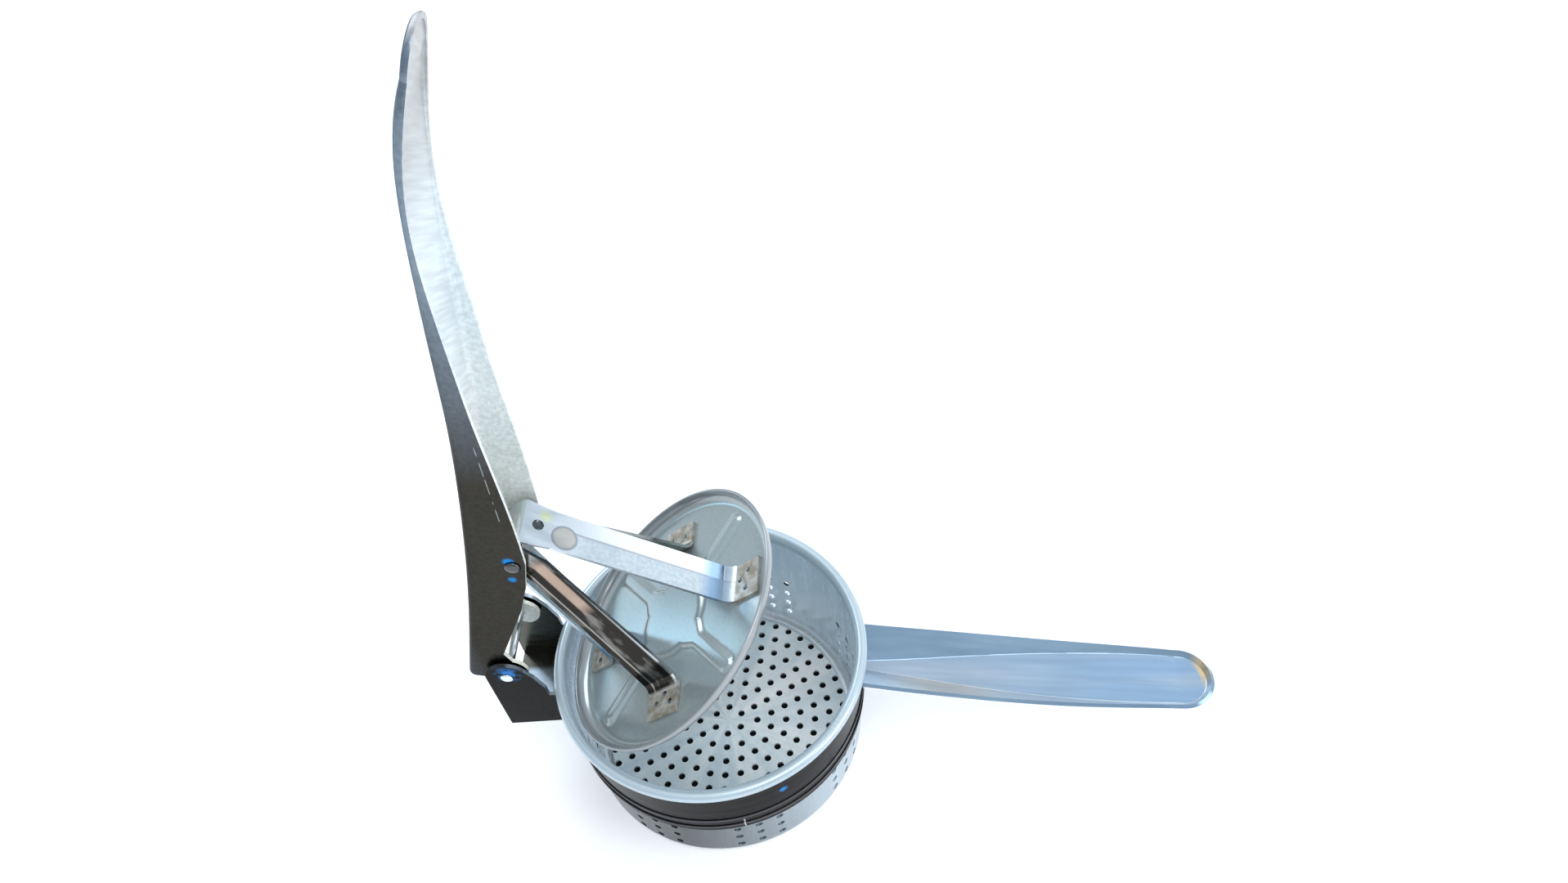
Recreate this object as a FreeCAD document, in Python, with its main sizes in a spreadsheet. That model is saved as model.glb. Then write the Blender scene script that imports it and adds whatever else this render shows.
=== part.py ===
import FreeCAD, Part
import math
import os

import Sketcher
from FreeCAD import Rotation, Vector

# A lever press for dough and boiled potato: a perforated cup in a ring with a handle,
# and a hinged lever that swings a dished plunger down into the cup.
# The origin is the centre of the cup's underside. +X runs along the lower handle, +Z is up.

doc = FreeCAD.newDocument("LeverPress")

# Driving sizes, in millimetres and degrees
SIZES = (
    ("cup_height", 49.0, "underside to the middle of the rolled rim"),
    ("cup_bore_top", 45.8, "inner radius at the rim"),
    ("cup_bore_floor", 45.0, "inner radius at the floor"),
    ("cup_wall", 0.8, "cup side sheet"),
    ("cup_floor", 1.0, "cup floor sheet"),
    ("cup_corner", 3.5, "inner radius between floor and side"),
    ("curl_size", 1.85, "radius of the rolled rim's section"),
    ("hole_size", 2.3, "diameter of every perforation"),
    ("hole_rings", 8.0, "rings of holes in the floor"),
    ("ring_pitch", 5.0, "step between floor rings"),
    ("side_rows", 4.0, "holes above each other in a side group"),
    ("side_row_pitch", 5.85, "height step between side rows"),
    ("side_row_first", 6.7, "height of the lowest side row"),
    ("side_columns", 3.0, "columns in a side group"),
    ("side_column_turn", 8.5, "angle between columns"),
    ("band_foot", 23.0, "height of the ring band's lower edge"),
    ("band_wall", 0.7, "ring band sheet"),
    ("bead_size", 0.45, "section radius of the band's beads"),
    ("bead_low", 25.6, "height of the lower bead"),
    ("bead_high", 30.0, "height of the upper bead"),
    ("seat_gap", 0.05, "gap between parts that seat on each other"),
    ("arm_sheet", 1.2, "sheet of handle, lever and bracket"),
    ("handle_length", 100.8, "ring band to the centre of the handle's round tip"),
    ("handle_bend", 1.8, "outer bend radius of the handle's sides"),
    ("hinge_clear", 10.9, "hinge axis behind the rolled rim"),
    ("hinge_rise", 9.3, "hinge axis above the rim's middle"),
    ("hinge_pin_size", 2.6, "diameter of the hinge pin"),
    ("hinge_head_size", 4.0, "diameter of the hinge pin's heads"),
    ("hinge_head_thick", 0.6, "thickness of a hinge pin head"),
    ("washer_size", 7.0, "diameter of the hinge washer"),
    ("washer_thick", 0.6, "thickness of the hinge washer"),
    ("ear_room", 1.1, "gap between a flange of the lever and its ear"),
    ("ear_low", 28.2, "lowest corner of the ears"),
    ("ear_round", 6.6, "radius of the ear about the hinge pin"),
    ("lever_half", 11.0, "half width of the lever"),
    ("lever_bend", 2.6, "outer bend radius of the lever"),
    ("toe_round", 6.2, "radius of the lever's toe about the hinge pin"),
    ("running_gap", 0.06, "radial clearance of a pin in its hole"),
    ("pivot_ahead", 16.7, "plunger pivot ahead of the hinge axis"),
    ("pivot_rise", 56.2, "plunger pivot above the hinge axis"),
    ("pivot_pin_size", 3.0, "diameter of the pivot pin"),
    ("pivot_head_size", 4.6, "diameter of the pivot pin's heads"),
    ("pivot_head_thick", 0.9, "thickness of a pivot pin head"),
    ("plunger_tilt", 38.0, "lean of the plunger at rest"),
    ("plunger_drop", 57.7, "pivot down to the plate's upper face"),
    ("plunger_room", 2.7, "gap between the plunger dish and the cup's side at the floor"),
    ("disc_wall", 0.9, "plunger dish sheet"),
    ("disc_lip", 3.5, "dish edge above the plate"),
    ("disc_corner", 3.2, "inner radius between plate and edge"),
    ("rib_rise", 0.7, "height of the plate's embossed cross"),
    ("rib_half", 2.2, "half width of an embossed arm"),
    ("rib_reach", 36.5, "end of an embossed arm from the centre"),
    ("boss_radius", 12.5, "radius of the embossed middle"),
    ("strap_sheet", 1.0, "strap sheet"),
    ("strap_bend", 2.2, "outer bend radius of the straps"),
    ("foot_bend", 5.0, "outer bend radius above the feet"),
    ("strap_width", 12.0, "strap width at the feet and up the legs"),
    ("cross_top_width", 9.0, "cross strap width over the pin"),
    ("long_top_width", 14.4, "long strap width over the pin"),
    ("long_flare", 9.0, "height over which the long strap widens"),
    ("cheek_room", 1.8, "gap between a cheek of the cross strap and its flange"),
    ("cross_cheek", 7.0, "straight cheek below the pin"),
    ("cross_heel", 23.0, "where the cross strap meets the plate"),
    ("cross_toe", 32.7, "outer end of the cross strap's foot"),
    ("long_half", 5.8, "half width of the long strap over the pin"),
    ("long_heel", 26.0, "where the long strap meets the plate"),
    ("long_toe", 36.3, "outer end of the long strap's foot"),
    ("strap_top_room", 0.5, "pivot pin to the underside of the cross strap"),
    ("strap_hole_size", 3.3, "diameter of the hole in the long strap"),
    ("strap_hole_drop", 5.0, "hole below the long strap's upper bend"),
)

# Angles of the side hole groups about the cup's axis, from +X towards +Y
SIDE_GROUP_ANGLES = (-114, -72, -27, 22, 71, 116, 160, 203)

# Handle: share of its length, height of its edges below the rim, half width at the edges,
# depth and half width of its floor
HANDLE_STATIONS = (
    (-0.06, 2.6, 11.1, 8.4, 1.6),
    (0.08, 6.5, 11.5, 7.4, 2.8),
    (0.22, 9.9, 11.8, 6.3, 4.5),
    (0.42, 14.4, 12.0, 4.7, 6.8),
    (0.70, 19.6, 11.7, 3.0, 8.8),
    (1.0, 23.9, 10.7, 2.4, 9.0),
)

# Outer face of the lever's web at rest, measured from the hinge axis: ahead, above, the
# channel's depth square to the web, and its share of the lever's half width
LEVER_STATIONS = (
    (-13.1, -1.3, 23.0, 1.0),
    (-7.3, 18.2, 22.0, 1.0),
    (2.6, 53.4, 17.6, 1.0),
    (11.1, 88.6, 11.4, 1.0),
    (16.6, 116.1, 6.6, 1.0),
    (20.5, 140.3, 4.2, 1.0),
    (25.2, 166.0, 1.8, 0.98),
    (28.7, 182.0, 1.8, 0.99),
    (35.6, 201.0, 1.6, 0.73),
)

# Front edge of the lever's flanges from the toe upwards, measured from the hinge axis
LEVER_FRONT_EDGE = ((1.4, 10.2), (13.0, 33.7), (17.6, 45.7), (20.6, 57.7), (30.4, 112.0))

sizes = doc.addObject("Spreadsheet::Sheet", "Sizes")
for row, (alias, value, note) in enumerate(SIZES, 1):
    sizes.set(f"A{row}", alias)
    sizes.set(f"B{row}", str(value))
    sizes.set(f"C{row}", note)
    sizes.setAlias(f"B{row}", alias)
doc.recompute()

KEPT = []


def size(alias):
    return float(sizes.get(alias))


def keep(obj, name):
    """Give a finished sub-part its own name."""
    obj.Label = name
    KEPT.append(obj)
    return obj


def bind(obj, **links):
    """Bind an object's properties to sizes of the sheet."""
    for name, expression in links.items():
        obj.setExpression(name.replace("__", "."), expression)


def new_body(name):
    return doc.addObject("PartDesign::Body", name)


def new_sketch(body, name, role):
    sketch = body.newObject("Sketcher::SketchObject", name)
    plane = [part for part in body.Origin.OriginFeatures if part.Role == role][0]
    sketch.AttachmentSupport = [(plane, "")]
    sketch.MapMode = "FlatFace"
    return sketch


def draw_corners(sketch, corners):
    """Draw a closed polygon whose corners are pairs of expressions."""
    count = len(corners)
    start = [Vector(5 * math.cos(k * math.tau / count), 5 * math.sin(k * math.tau / count), 0)
             for k in range(count)]
    edges = []
    for k in range(count):
        line = Part.LineSegment(start[k], start[(k + 1) % count])
        edges.append(sketch.addGeometry(line, False))
    for k in range(count):
        sketch.addConstraint(
            Sketcher.Constraint("Coincident", edges[k], 2, edges[(k + 1) % count], 1))
    for k, (across, up) in enumerate(corners):
        for axis, expression, place in (("X", across, start[k].x), ("Y", up, start[k].y)):
            index = sketch.addConstraint(
                Sketcher.Constraint("Distance" + axis, -1, 1, edges[k], 1, place))
            sketch.setExpression(f"Constraints[{index}]", expression)


def draw_circle(sketch, across, up, radius):
    """Draw a circle whose centre and radius are expressions."""
    edge = sketch.addGeometry(Part.Circle(Vector(1, 1, 0), Vector(0, 0, 1), 2), False)
    for axis, expression in (("X", across), ("Y", up)):
        index = sketch.addConstraint(Sketcher.Constraint("Distance" + axis, -1, 1, edge, 3, 1))
        sketch.setExpression(f"Constraints[{index}]", expression)
    index = sketch.addConstraint(Sketcher.Constraint("Radius", edge, 2))
    sketch.setExpression(f"Constraints[{index}]", radius)


def revolve(body, name, corners):
    """Turn a closed outline of radius and height pairs about the body's Z axis."""
    sketch = new_sketch(body, name + "_outline", "XZ_Plane")
    draw_corners(sketch, corners)
    turned = body.newObject("PartDesign::Revolution", name)
    turned.Profile = sketch
    turned.ReferenceAxis = (sketch, ["V_Axis"])
    turned.Angle = 360
    return turned


def ring_bead(body, name, ring_radius, section_radius, height):
    """Add a round bead that runs about the body's Z axis."""
    bead = body.newObject("PartDesign::AdditiveTorus", name)
    bind(bead, Radius1=ring_radius, Radius2=section_radius, Placement__Base__z=height)
    return bead


def round_ring(body, base, name, ring_radius, height, bend):
    """Round the circular edge that has a given radius and height."""
    doc.recompute()
    edges = []
    for number, edge in enumerate(base.Shape.Edges, 1):
        curve = edge.Curve
        if not isinstance(curve, Part.Circle):
            continue
        if abs(curve.Radius - ring_radius) < 0.001 and abs(curve.Center.z - height) < 0.001:
            edges.append(f"Edge{number}")
    fillet = body.newObject("PartDesign::Fillet", name)
    fillet.Base = (base, edges)
    fillet.setExpression("Radius", bend)
    doc.recompute()
    return fillet


def pad(body, sketch, name, length, midplane=False, reverse=False):
    feature = body.newObject("PartDesign::Pad", name)
    feature.Profile = sketch
    feature.Midplane = midplane
    feature.Reversed = reverse
    feature.setExpression("Length", length)
    return feature


def pocket_through(body, sketch, name):
    """Cut a sketch right through its body, both ways."""
    feature = body.newObject("PartDesign::Pocket", name)
    feature.Profile = sketch
    feature.Type = 1
    feature.Midplane = True
    return feature


def cylinder(name, radius, height, base=None, along=Vector(0, 0, 1)):
    """A round bar whose radius, height and base are expressions."""
    bar = doc.addObject("Part::Cylinder", name)
    bar.Placement.Rotation = Rotation(Vector(0, 0, 1), along)
    bind(bar, Radius=radius, Height=height)
    for axis, expression in (base or {}).items():
        bar.setExpression("Placement.Base." + axis, expression)
    return bar


def cut(name, base, tool):
    part = doc.addObject("Part::Cut", name)
    part.Base = base
    part.Tool = tool
    return part


def fuse(name, shapes):
    part = doc.addObject("Part::MultiFuse", name)
    part.Shapes = shapes
    return part


def feature(name, shape):
    part = doc.addObject("Part::Feature", name)
    part.Shape = shape
    return part


def bore_at(height):
    """Inner radius of the cup at a height."""
    share = (height - size("cup_floor")) / (size("cup_height") - size("cup_floor"))
    return size("cup_bore_floor") + share * (size("cup_bore_top") - size("cup_bore_floor"))


# Perforated cup
def floor_hole_places():
    """Rings of six, twelve, eighteen and more holes, with none in the middle."""
    for ring in range(1, int(size("hole_rings")) + 1):
        count = 6 * ring
        for k in range(count):
            angle = math.pi / 2 + k * math.tau / count
            radius = ring * size("ring_pitch")
            yield Vector(radius * math.cos(angle), radius * math.sin(angle), 0)


def side_hole_places():
    """Groups of columns about the wall: an angle and a height for each hole."""
    columns = int(size("side_columns"))
    for middle in SIDE_GROUP_ANGLES:
        for column in range(columns):
            angle = middle + (column - (columns - 1) / 2) * size("side_column_turn")
            for row_number in range(int(size("side_rows"))):
                height = size("side_row_first") + row_number * size("side_row_pitch")
                yield math.radians(angle), height


def make_press_cup():
    body = new_body("cup_body")
    curl = "Sizes.curl_size"
    rim = "Sizes.cup_height"
    outside = "Sizes.cup_bore_floor + Sizes.cup_wall"
    sheet = revolve(body, "cup_sheet", (
        ("0", "0"),
        (outside, "0"),
        ("Sizes.cup_bore_top + Sizes.cup_wall", rim),
        ("Sizes.cup_bore_top + Sizes.seat_gap", rim),
        ("Sizes.cup_bore_floor", "Sizes.cup_floor"),
        ("0", "Sizes.cup_floor"),
    ))
    floor = size("cup_floor")
    outer = round_ring(body, sheet, "cup_outer_corner", size("cup_bore_floor") + size("cup_wall"), 0,
                       "Sizes.cup_corner + Sizes.cup_floor")
    round_ring(body, outer, "cup_inner_corner", size("cup_bore_floor"), floor, "Sizes.cup_corner")
    ring_bead(body, "cup_curl", f"Sizes.cup_bore_top + {curl}", curl, rim)
    doc.recompute()
    radius = size("hole_size") / 2
    drills = []
    for place in floor_hole_places():
        start = place + Vector(0, 0, -size("cup_floor"))
        drills.append(Part.makeCylinder(radius, 3 * size("cup_floor"), start))
    for angle, height in side_hole_places():
        outward = Vector(math.cos(angle), math.sin(angle), 0)
        start = outward * (bore_at(height) - size("cup_wall")) + Vector(0, 0, height)
        drills.append(Part.makeCylinder(radius, 3 * size("cup_wall"), start, outward))
    drilled = cut("press_cup", body, feature("cup_drills", Part.makeCompound(drills)))
    return keep(drilled, "press_cup")


# Ring band that carries the cup, the handle and the hinge
BAND_INSIDE = "Sizes.cup_bore_top + Sizes.cup_wall + Sizes.seat_gap"
BAND_OUTSIDE = f"{BAND_INSIDE} + Sizes.band_wall"
BAND_SEAT = f"{BAND_OUTSIDE} + Sizes.bead_size + Sizes.seat_gap"
BAND_TOP = "Sizes.cup_height - Sizes.curl_size - Sizes.seat_gap"
HINGE_BACK = "Sizes.cup_bore_top + 2 * Sizes.curl_size + Sizes.hinge_clear"
HINGE_HEIGHT = "Sizes.cup_height + Sizes.hinge_rise"
PIVOT_BACK = f"{HINGE_BACK} - Sizes.pivot_ahead"
PIVOT_HEIGHT = f"{HINGE_HEIGHT} + Sizes.pivot_rise"
DISC_RADIUS = "Sizes.cup_bore_floor - Sizes.plunger_room"
EAR_GAP = "2 * (Sizes.lever_half + Sizes.ear_room)"
EAR_SPAN = f"{EAR_GAP} + 2 * Sizes.arm_sheet"


def make_ring_band():
    body = new_body("ring_band")
    revolve(body, "band_sheet", (
        (BAND_INSIDE, "Sizes.band_foot"),
        (BAND_OUTSIDE, "Sizes.band_foot"),
        (BAND_OUTSIDE, BAND_TOP),
        (BAND_INSIDE, BAND_TOP),
    ))
    ring_bead(body, "low_bead", BAND_OUTSIDE, "Sizes.bead_size", "Sizes.bead_low")
    ring_bead(body, "high_bead", BAND_OUTSIDE, "Sizes.bead_size", "Sizes.bead_high")
    return keep(body, "ring_band")


# Pressed channels: the lower handle and the lever
ACROSS = Vector(0, 1, 0)
MID_ARC = math.sqrt(0.5)


def channel_section(web, inward, half, depth):
    """A rounded U: the web's outer face passes through web, and the flanges run inward."""
    wall = size("arm_sheet")
    bend = min(size("lever_bend"), 0.85 * depth)
    inner_bend = bend - wall
    slack = bend * (1 - MID_ARC)

    def at(across, deep):
        return web + ACROSS * across + inward * deep

    line = Part.LineSegment
    arc = Part.Arc
    inner_mid = bend - inner_bend * MID_ARC
    pieces = (
        line(at(-half, depth), at(-half, bend)),
        arc(at(-half, bend), at(slack - half, slack), at(bend - half, 0)),
        line(at(bend - half, 0), at(half - bend, 0)),
        arc(at(half - bend, 0), at(half - slack, slack), at(half, bend)),
        line(at(half, bend), at(half, depth)),
        line(at(half, depth), at(half - wall, depth)),
        line(at(half - wall, depth), at(half - wall, bend)),
        arc(at(half - wall, bend), at(half - inner_mid, inner_mid), at(half - bend, wall)),
        line(at(half - bend, wall), at(bend - half, wall)),
        arc(at(bend - half, wall), at(inner_mid - half, inner_mid), at(wall - half, bend)),
        line(at(wall - half, bend), at(wall - half, depth)),
        line(at(wall - half, depth), at(-half, depth)),
    )
    return Part.Wire([piece.toShape() for piece in pieces])


def lofted_trough(sections, centre, inward, ahead):
    """Loft a trough through its sections and close its end with a half dish about its centre."""
    trough = Part.makeLoft(sections, True, False)
    span = trough.BoundBox.DiagonalLength
    far_side = Part.makeBox(2 * span, span, 2 * span, centre - Vector(span, 0, span))
    half_section = Part.Face(sections[-1]).common(far_side).Faces[0]
    turn = 180 if ahead.dot(inward.cross(ACROSS)) > 0 else -180
    dish = half_section.revolve(centre, inward, turn).Solids[0]
    return trough.fuse(dish).removeSplitter().Solids[0]


def offset_path(points, distance):
    """Shift a polyline of (place, up) points to its right, with mitred corners."""
    shifted = []
    for k, (place, up) in enumerate(points):
        normals = []
        for start, end in ((k - 1, k), (k, k + 1)):
            if start < 0 or end >= len(points):
                continue
            run = points[end][0] - points[start][0]
            climb = points[end][1] - points[start][1]
            length = math.hypot(run, climb)
            normals.append((climb / length, -run / length))
        mean = [sum(part) / len(normals) for part in zip(*normals)]
        scale = distance / (mean[0] ** 2 + mean[1] ** 2)
        shifted.append((place + mean[0] * scale, up + mean[1] * scale))
    return shifted


def rounded_outline(corners, along):
    """A closed wire through (place, up, bend radius) corners in the plane of along and Z."""
    spots = [along * place + Vector(0, 0, up) for place, up, bend in corners]
    starts = []
    ends = []
    bends = []
    for k, (place, up, bend) in enumerate(corners):
        back = (spots[k - 1] - spots[k]).normalize()
        ahead = (spots[(k + 1) % len(spots)] - spots[k]).normalize()
        half_angle = back.getAngle(ahead) / 2
        reach = bend / math.tan(half_angle)
        starts.append(spots[k] + back * reach)
        ends.append(spots[k] + ahead * reach)
        inward = (back + ahead).normalize() if bend > 0 else Vector()
        bends.append(spots[k] + inward * (bend / math.sin(half_angle) - bend))
    edges = []
    for k, (place, up, bend) in enumerate(corners):
        if bend > 0:
            edges.append(Part.Arc(starts[k], bends[k], ends[k]).toShape())
        edges.append(Part.LineSegment(ends[k], starts[(k + 1) % len(corners)]).toShape())
    return Part.Wire(edges)


def trough_section(half, depth, floor_half):
    """A sheet trough with sloping sides, whose floor's underside is at height 0."""
    wall = size("arm_sheet")
    bend = size("handle_bend")
    under = [(-half, depth), (-floor_half, 0), (floor_half, 0), (half, depth)]
    over = offset_path(under, -wall)[::-1]
    bends = (0, bend, bend, 0, 0, bend - wall, bend - wall, 0)
    corners = [(*spot, radius) for spot, radius in zip(under + over, bends)]
    return rounded_outline(corners, ACROSS)


def make_lower_handle():
    """A shallow trough that opens upward and flattens towards its round tip."""
    start = size("cup_bore_top") + size("cup_wall") + size("band_wall") + size("bead_size")
    sections = []
    places = []
    for share, below_rim, half, depth, floor_half in HANDLE_STATIONS:
        low = size("cup_height") - below_rim - depth
        place = Vector(start + share * size("handle_length"), 0, low)
        sections.append(trough_section(half, depth, floor_half).translated(place))
        places.append(place)
    solid = lofted_trough(sections, places[-1], Vector(0, 0, 1), places[-1] - places[-2])
    trough = feature("handle_trough", solid)
    room = cylinder("handle_seat", BAND_SEAT, "Sizes.cup_height")
    return keep(cut("lower_handle", trough, room), "lower_handle")


def round_bar_across(name, radius, length, back, height, middle="0"):
    """A bar along Y, centred on middle, at a place behind the cup's axis."""
    base = {"x": f"-({back})", "y": f"{middle} - ({length}) / 2", "z": height}
    return cylinder(name, radius, length, base, ACROSS)


def make_headed_pin(name, shank, head, thick, grip, back, height):
    """A riveted pin along Y: shank and head diameters, and the width it holds together."""
    parts = [round_bar_across(name + "_shank", f"{shank} / 2", grip, back, height)]
    for side, sign in (("near", "-"), ("far", "")):
        middle = f"{sign}(({grip}) / 2 + {thick} / 2)"
        parts.append(round_bar_across(f"{name}_{side}_head", f"{head} / 2", thick, back, height, middle))
    return keep(fuse(name, parts), name)


def make_hinge_bracket():
    """Two ears with a floor between them, on a web that seats on the ring band."""
    body = new_body("hinge_bracket")
    ears = new_sketch(body, "ear_outline", "XZ_Plane")
    ear_back = f"-({HINGE_BACK} + Sizes.ear_round)"
    curl_outside = "Sizes.cup_bore_top + 2 * Sizes.curl_size"
    rim_low = "Sizes.cup_height - Sizes.curl_size - 0.4"
    inside_band = f"-({curl_outside}) + 6"
    front_low = "Sizes.ear_low + 2.2"
    draw_corners(ears, (
        (ear_back, "Sizes.ear_low"),
        (ear_back, HINGE_HEIGHT),
        (f"-({HINGE_BACK})", f"{HINGE_HEIGHT} + Sizes.ear_round * 0.5"),
        (f"-({HINGE_BACK}) + Sizes.ear_round * 0.77", f"{HINGE_HEIGHT} + Sizes.ear_round * 0.63"),
        (f"-({curl_outside}) - 2.9", "Sizes.cup_height + 8.6"),
        (f"-({curl_outside}) - 1.6", "Sizes.cup_height + 4.6"),
        (f"-({curl_outside}) - 0.7", "Sizes.cup_height + 2.2"),
        (f"-({curl_outside}) - 0.6", rim_low),
        (inside_band, rim_low),
        (inside_band, front_low),
    ))
    pad(body, ears, "ear_block", EAR_SPAN, midplane=True)
    lobes = new_sketch(body, "lobe_outline", "XZ_Plane")
    draw_circle(lobes, f"-({HINGE_BACK})", HINGE_HEIGHT, "Sizes.ear_round")
    pad(body, lobes, "ear_lobes", EAR_SPAN, midplane=True)
    between = new_sketch(body, "between_ears", "XY_Plane")
    web_back = f"-({BAND_SEAT}) - Sizes.arm_sheet"
    draw_corners(between, (
        (f"2 * ({ear_back})", f"-({EAR_GAP}) / 2"),
        (web_back, f"-({EAR_GAP}) / 2"),
        (web_back, f"({EAR_GAP}) / 2"),
        (f"2 * ({ear_back})", f"({EAR_GAP}) / 2"),
    ))
    pocket_through(body, between, "lever_room")
    floor = new_sketch(body, "floor_outline", "XZ_Plane")
    draw_corners(floor, (
        (ear_back, "Sizes.ear_low"),
        (ear_back, "Sizes.ear_low + Sizes.arm_sheet"),
        (inside_band, f"{front_low} + Sizes.arm_sheet"),
        (inside_band, front_low),
    ))
    pad(body, floor, "ear_floor", EAR_SPAN, midplane=True)
    seat = new_sketch(body, "band_seat", "XY_Plane")
    draw_circle(seat, "0", "0", BAND_SEAT)
    pocket_through(body, seat, "band_room")
    holes = new_sketch(body, "pin_hole", "XZ_Plane")
    draw_circle(holes, f"-({HINGE_BACK})", HINGE_HEIGHT, "Sizes.hinge_pin_size / 2 + Sizes.seat_gap")
    pocket_through(body, holes, "pin_holes")
    return keep(body, "hinge_bracket")


def make_hinge_washer():
    """A loose washer between the lever's far flange and the far ear."""
    middle = "(Sizes.lever_half + Sizes.ear_room / 2)"
    disc = round_bar_across("washer_disc", "Sizes.washer_size / 2", "Sizes.washer_thick",
                            HINGE_BACK, HINGE_HEIGHT, middle)
    bore = round_bar_across("washer_bore", "Sizes.hinge_pin_size / 2 + Sizes.seat_gap",
                            "Sizes.washer_thick * 3", HINGE_BACK, HINGE_HEIGHT, middle)
    return keep(cut("hinge_washer", disc, bore), "hinge_washer")


def hinge_centre():
    back = size("cup_bore_top") + 2 * size("curl_size") + size("hinge_clear")
    return Vector(-back, 0, size("cup_height") + size("hinge_rise"))


def lever_side_outline():
    """The lever seen from the side: everything behind its front edge, with a round toe."""
    toe = size("toe_round")

    def on_toe(degrees):
        turn = math.radians(degrees)
        return Vector(toe * math.cos(turn), 0, toe * math.sin(turn))

    front = [Vector(ahead, 0, above) for ahead, above in LEVER_FRONT_EDGE]
    web_foot = Vector(LEVER_STATIONS[0][0] - toe / 2, 0, LEVER_STATIONS[0][1] + toe / 6)
    top = 1.5 * LEVER_STATIONS[-1][1]
    corners = front + [Vector(top / 2, 0, top), Vector(-top / 2, 0, top),
                       Vector(-top / 2, 0, web_foot.z), web_foot, on_toe(-100)]
    edges = [Part.Arc(on_toe(-100), on_toe(-20), on_toe(62)).toShape(),
             Part.LineSegment(on_toe(62), corners[0]).toShape()]
    edges += [Part.LineSegment(a, b).toShape() for a, b in zip(corners, corners[1:])]
    return Part.Face(Part.Wire(edges))


def make_press_lever():
    """A channel that opens towards the cup, with a hinge toe and a rounded grip."""
    sections = []
    places = [Vector(ahead, 0, above) for ahead, above, depth, share in LEVER_STATIONS]
    for k, (web, (ahead, above, depth, share)) in enumerate(zip(places, LEVER_STATIONS)):
        before = places[max(k - 1, 0)]
        after = places[min(k + 1, len(places) - 1)]
        inward = ACROSS.cross((after - before).normalize())
        sections.append(channel_section(web, inward, share * size("lever_half"), depth))
    solid = lofted_trough(sections, places[-1], inward, places[-1] - places[-2])
    span = 4 * size("lever_half")
    outline = lever_side_outline().translated(ACROSS * (-span / 2))
    blank = feature("lever_blank", solid)
    side = feature("lever_side", outline.extrude(ACROSS * span))
    trimmed = doc.addObject("Part::Common", "lever_trimmed")
    trimmed.Base = blank
    trimmed.Tool = side
    blank.Placement.Base = hinge_centre()
    side.Placement.Base = hinge_centre()
    span_rule = "4 * Sizes.lever_half"
    hinge_hole = round_bar_across("lever_hinge_hole", "Sizes.hinge_pin_size / 2 + Sizes.running_gap",
                                  span_rule, HINGE_BACK, HINGE_HEIGHT)
    pivot_hole = round_bar_across("lever_pivot_hole", "Sizes.pivot_pin_size / 2 + Sizes.seat_gap",
                                  span_rule, PIVOT_BACK, PIVOT_HEIGHT)
    drills = fuse("lever_drills", [hinge_hole, pivot_hole])
    return keep(cut("press_lever", trimmed, drills), "press_lever")


# Plunger, drawn level about the middle of its plate's upper face and then leaned to its rest
def seat_plunger_part(obj):
    """Lean a plunger part backwards and hang it from the pivot."""
    lean = "Sizes.plunger_tilt"
    obj.Placement.Rotation = Rotation(-ACROSS, size("plunger_tilt"))
    obj.setExpression("Placement.Rotation.Angle", lean)
    obj.setExpression("Placement.Base.x", f"-({PIVOT_BACK}) + Sizes.plunger_drop * sin({lean})")
    obj.setExpression("Placement.Base.z", f"{PIVOT_HEIGHT} - Sizes.plunger_drop * cos({lean})")
    return obj


def embossed_arm(body, kind, number, half, foot, rise):
    """One arm of the cross: a bar from the middle with a round end, added or taken away."""
    angle = 45 + 90 * number
    name = f"{kind.lower()}_arm_{number}"
    bar = body.newObject(f"PartDesign::{kind}Box", name)
    bar.Placement.Rotation = Rotation(Vector(0, 0, 1), angle)
    bind(bar, Length=f"Sizes.rib_reach - ({half})", Width=f"2 * ({half})", Height=rise,
         Placement__Base__x=f"({half}) * sin({angle})",
         Placement__Base__y=f"-({half}) * cos({angle})", Placement__Base__z=foot)
    end = body.newObject(f"PartDesign::{kind}Cylinder", name + "_end")
    bind(end, Radius=half, Height=rise,
         Placement__Base__x=f"(Sizes.rib_reach - ({half})) * cos({angle})",
         Placement__Base__y=f"(Sizes.rib_reach - ({half})) * sin({angle})",
         Placement__Base__z=foot)


def emboss_plate(body):
    """A pressed cross with a round middle, raised above the plate and hollow below it."""
    thin = "Sizes.disc_wall"
    for kind, narrower, foot, rise in (
            ("Additive", "0", "0", "Sizes.rib_rise"),
            ("Subtractive", f"{thin} * 0.7", f"-{thin} - 1", "Sizes.rib_rise + 1")):
        middle = body.newObject(f"PartDesign::{kind}Cylinder", kind.lower() + "_middle")
        bind(middle, Radius=f"Sizes.boss_radius - ({narrower})", Height=rise,
             Placement__Base__z=foot)
        for number in range(4):
            embossed_arm(body, kind, number, f"Sizes.rib_half - ({narrower})", foot, rise)


def make_plunger_dish():
    """A flat plate with an upturned edge."""
    body = new_body("plunger_dish")
    lip = "Sizes.disc_lip"
    inner = f"{DISC_RADIUS} - Sizes.disc_wall"
    dish = revolve(body, "dish_sheet", (
        ("0", "-Sizes.disc_wall"),
        (DISC_RADIUS, "-Sizes.disc_wall"),
        (DISC_RADIUS, lip),
        (inner, lip),
        (inner, "0"),
        ("0", "0"),
    ))
    outside = size("cup_bore_floor") - size("plunger_room")
    sheet = size("disc_wall")
    outer = round_ring(body, dish, "dish_outer_corner", outside, -sheet,
                       "Sizes.disc_corner + Sizes.disc_wall")
    round_ring(body, outer, "dish_inner_corner", outside - sheet, 0, "Sizes.disc_corner")
    emboss_plate(body)
    return keep(seat_plunger_part(body), "plunger_dish")


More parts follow.
